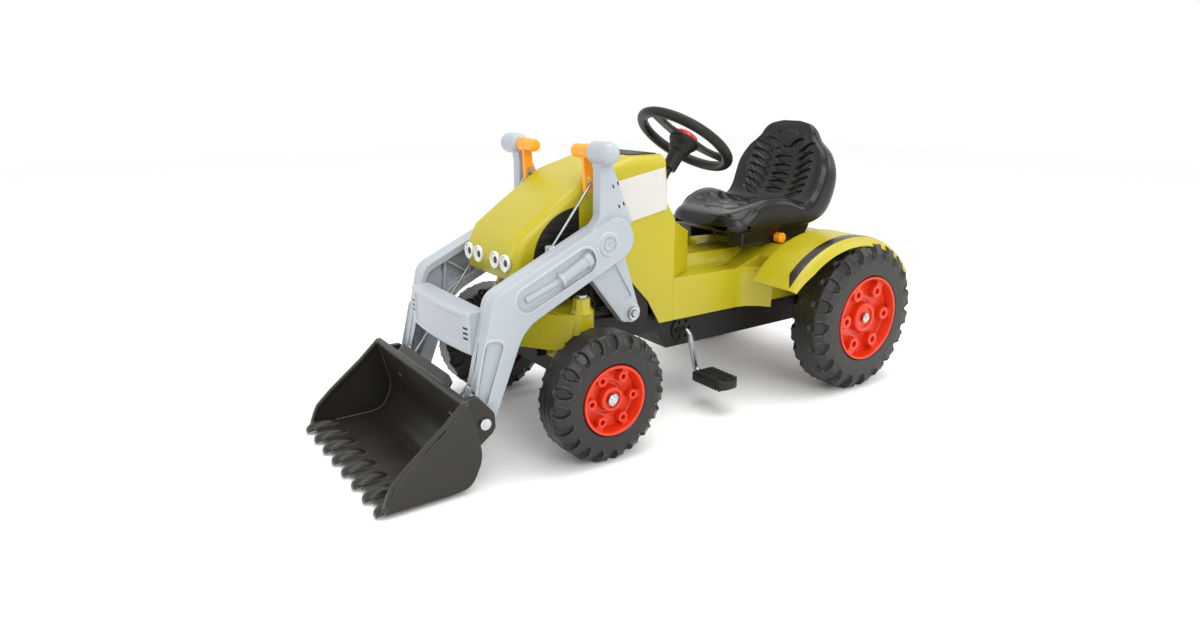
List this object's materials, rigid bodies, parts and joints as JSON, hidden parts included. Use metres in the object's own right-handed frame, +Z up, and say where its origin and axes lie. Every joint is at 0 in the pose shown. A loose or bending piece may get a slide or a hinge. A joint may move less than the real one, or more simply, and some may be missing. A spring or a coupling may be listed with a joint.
{
  "type": "ride-on pedal tractor",
  "caption": "Child's ride-on pedal tractor with steered front wheels, chain-driven rear axle, sliding seat and a hand-worked front loader with a tipping bucket.",
  "frame": {"origin": "on the floor under the middle of the tractor's box", "axes": "+X forward, +Y to the rider's left, +Z up"},
  "size_m": [1.25, 0.544, 0.6111],
  "materials": {
    "tyre_plastic": "black moulded plastic",
    "rim_plastic": "red-orange moulded plastic",
    "chassis_plastic": "black moulded plastic",
    "body_plastic": "yellow-green moulded plastic",
    "panel_plastic": "white trim",
    "trim_plastic": "dark trim",
    "lamp_plastic": "pale lamp lens",
    "steel": "bright steel",
    "cap_metal": "bright push-on cap",
    "pedal_plastic": "black moulded plastic",
    "wheel_plastic": "black moulded plastic",
    "horn_plastic": "red button",
    "seat_plastic": "black moulded plastic",
    "loader_plastic": "grey moulded plastic",
    "bucket_plastic": "dark grey moulded plastic",
    "trigger_plastic": "orange moulded plastic"
  },
  "bodies": {
    "chassis": {"chassis_frame": "chassis_plastic", "rear_bushes": "chassis_plastic", "crank_discs": "chassis_plastic", "tow_hitch": "chassis_plastic", "drive_chain": "steel", "axle_beam": "chassis_plastic", "axle_cover": "body_plastic", "hood": "body_plastic", "tub": "body_plastic", "fender_left": "body_plastic", "fender_right": "body_plastic", "side_panel_left": "panel_plastic", "side_panel_right": "panel_plastic", "side_grille_left": "trim_plastic", "side_grille_right": "trim_plastic", "headlamps": "lamp_plastic", "dash_panel": "trim_plastic", "engine_block": "chassis_plastic", "lift_bolts": "steel", "seat_rail": "chassis_plastic"},
    "steering": {"steering_wheel": "wheel_plastic", "steering_column": "steel"},
    "horn": {"horn_button": "horn_plastic"},
    "left_knuckle": {"knuckle_left": "chassis_plastic", "kingpin_left": "steel", "stub_axle_left": "steel", "front_left_cap": "cap_metal"},
    "right_knuckle": {"knuckle_right": "chassis_plastic", "kingpin_right": "steel", "stub_axle_right": "steel", "front_right_cap": "cap_metal"},
    "tie_bar": {"tie_rod": "steel"},
    "front_left_wheel": {"front_left_tyre": "tyre_plastic", "front_left_rim": "rim_plastic"},
    "front_right_wheel": {"front_right_tyre": "tyre_plastic", "front_right_rim": "rim_plastic"},
    "driven_axle": {"rear_axle": "steel", "rear_sprocket": "steel", "rear_right_tyre": "tyre_plastic", "rear_right_rim": "rim_plastic", "rear_axle_caps": "cap_metal"},
    "rear_left_wheel": {"rear_left_tyre": "tyre_plastic", "rear_left_rim": "rim_plastic"},
    "crank": {"crankshaft": "steel", "crank_sprocket": "steel"},
    "left_pedal": {"pedal_left": "pedal_plastic"},
    "right_pedal": {"pedal_right": "pedal_plastic"},
    "seat": {"seat_shell": "seat_plastic", "seat_base": "chassis_plastic"},
    "seat_clamp": {"seat_knob": "trigger_plastic"},
    "loader": {"loader_arm_left": "loader_plastic", "loader_arm_right": "loader_plastic", "cross_member": "loader_plastic"},
    "bucket_body": {"bucket": "bucket_plastic", "bucket_bolts": "steel"},
    "left_trigger": {"trigger_left": "trigger_plastic"},
    "right_trigger": {"trigger_right": "trigger_plastic"},
    "left_latch": {"latch_rod_left": "steel"},
    "right_latch": {"latch_rod_right": "steel"}
  },
  "joints": [
    {"name": "steering_turn", "type": "hinge", "parent": "chassis", "child": "steering", "pos_m": [-0.15342, 0, 0.54167], "axis": [-0.5835, 0, 0.8121], "range_deg": [-45, 45]},
    {"name": "horn_press", "type": "slide", "parent": "steering", "child": "horn", "axis": [0.5835, 0, -0.8121], "range_m": [0, 0.003], "stiffness_N_per_m": 300, "springref_m": -0.002},
    {"name": "left_knuckle_turn", "type": "hinge", "parent": "chassis", "child": "left_knuckle", "pos_m": [0.205, 0.145, 0.12], "axis": [0, 0, 1], "range_deg": [-21.9, 21.9]},
    {"name": "right_knuckle_turn", "type": "hinge", "parent": "chassis", "child": "right_knuckle", "pos_m": [0.205, -0.145, 0.12], "axis": [0, 0, 1], "range_deg": [-21.9, 21.9]},
    {"name": "tie_bar_turn", "type": "hinge", "parent": "left_knuckle", "child": "tie_bar", "pos_m": [0.11, 0.145, 0.0894], "axis": [0, 0, 1], "range_deg": [-21.9, 21.9]},
    {"name": "front_left_spin", "type": "hinge", "parent": "left_knuckle", "child": "front_left_wheel", "pos_m": [0.205, 0.211, 0.12], "axis": [0, 1, 0], "continuous": true},
    {"name": "front_right_spin", "type": "hinge", "parent": "right_knuckle", "child": "front_right_wheel", "pos_m": [0.205, -0.211, 0.12], "axis": [0, 1, 0], "continuous": true},
    {"name": "rear_axle_spin", "type": "hinge", "parent": "chassis", "child": "driven_axle", "pos_m": [-0.462, 0, 0.163], "axis": [0, 1, 0], "continuous": true},
    {"name": "rear_left_spin", "type": "hinge", "parent": "driven_axle", "child": "rear_left_wheel", "pos_m": [-0.462, 0.226, 0.163], "axis": [0, 1, 0], "continuous": true},
    {"name": "crank_spin", "type": "hinge", "parent": "chassis", "child": "crank", "pos_m": [-0.09, 0, 0.158], "axis": [0, 1, 0], "continuous": true},
    {"name": "left_pedal_spin", "type": "hinge", "parent": "crank", "child": "left_pedal", "pos_m": [-0.11298, 0.168, 0.06582], "axis": [0, 1, 0], "continuous": true},
    {"name": "right_pedal_spin", "type": "hinge", "parent": "crank", "child": "right_pedal", "pos_m": [-0.06702, -0.168, 0.25018], "axis": [0, 1, 0], "continuous": true},
    {"name": "seat_slide", "type": "slide", "parent": "chassis", "child": "seat", "axis": [1, 0, 0], "range_m": [-0.04, 0.04]},
    {"name": "seat_clamp_turn", "type": "hinge", "parent": "seat", "child": "seat_clamp", "pos_m": [-0.338, 0.09, 0.3315], "axis": [0, 1, 0], "range_deg": [0, 180]},
    {"name": "loader_lift", "type": "hinge", "parent": "chassis", "child": "loader", "pos_m": [0.085, 0, 0.235], "axis": [0, -1, 0], "range_deg": [0, 46]},
    {"name": "bucket_dump", "type": "hinge", "parent": "loader", "child": "bucket_body", "pos_m": [0.423, 0, 0.106], "axis": [0, 1, 0], "range_deg": [0, 70]},
    {"name": "left_trigger_pull", "type": "hinge", "parent": "loader", "child": "left_trigger", "pos_m": [0.167, 0.114, 0.539], "axis": [0, 1, 0], "range_deg": [0, 8], "stiffness_Nm_per_rad": 0.5},
    {"name": "left_latch_slide", "type": "slide", "parent": "loader", "child": "left_latch", "axis": [-0.6194, 0, 0.7851], "range_m": [0, 0.0101]},
    {"name": "right_trigger_pull", "type": "hinge", "parent": "loader", "child": "right_trigger", "pos_m": [0.167, -0.114, 0.539], "axis": [0, 1, 0], "range_deg": [0, 8], "stiffness_Nm_per_rad": 0.5},
    {"name": "right_latch_slide", "type": "slide", "parent": "loader", "child": "right_latch", "axis": [-0.6194, 0, 0.7851], "range_m": [0, 0.0101]}
  ],
  "couplings": [
    {"joint": "left_knuckle_turn", "follows": "steering_turn", "ratio": 0.4855},
    {"joint": "right_knuckle_turn", "follows": "steering_turn", "ratio": 0.4855},
    {"joint": "tie_bar_turn", "follows": "steering_turn", "ratio": -0.4855},
    {"joint": "crank_spin", "follows": "rear_axle_spin", "ratio": 0.8},
    {"joint": "left_latch_slide", "follows": "left_trigger_pull", "m_per_rad": 0.0716},
    {"joint": "right_latch_slide", "follows": "right_trigger_pull", "m_per_rad": 0.0716}
  ]
}
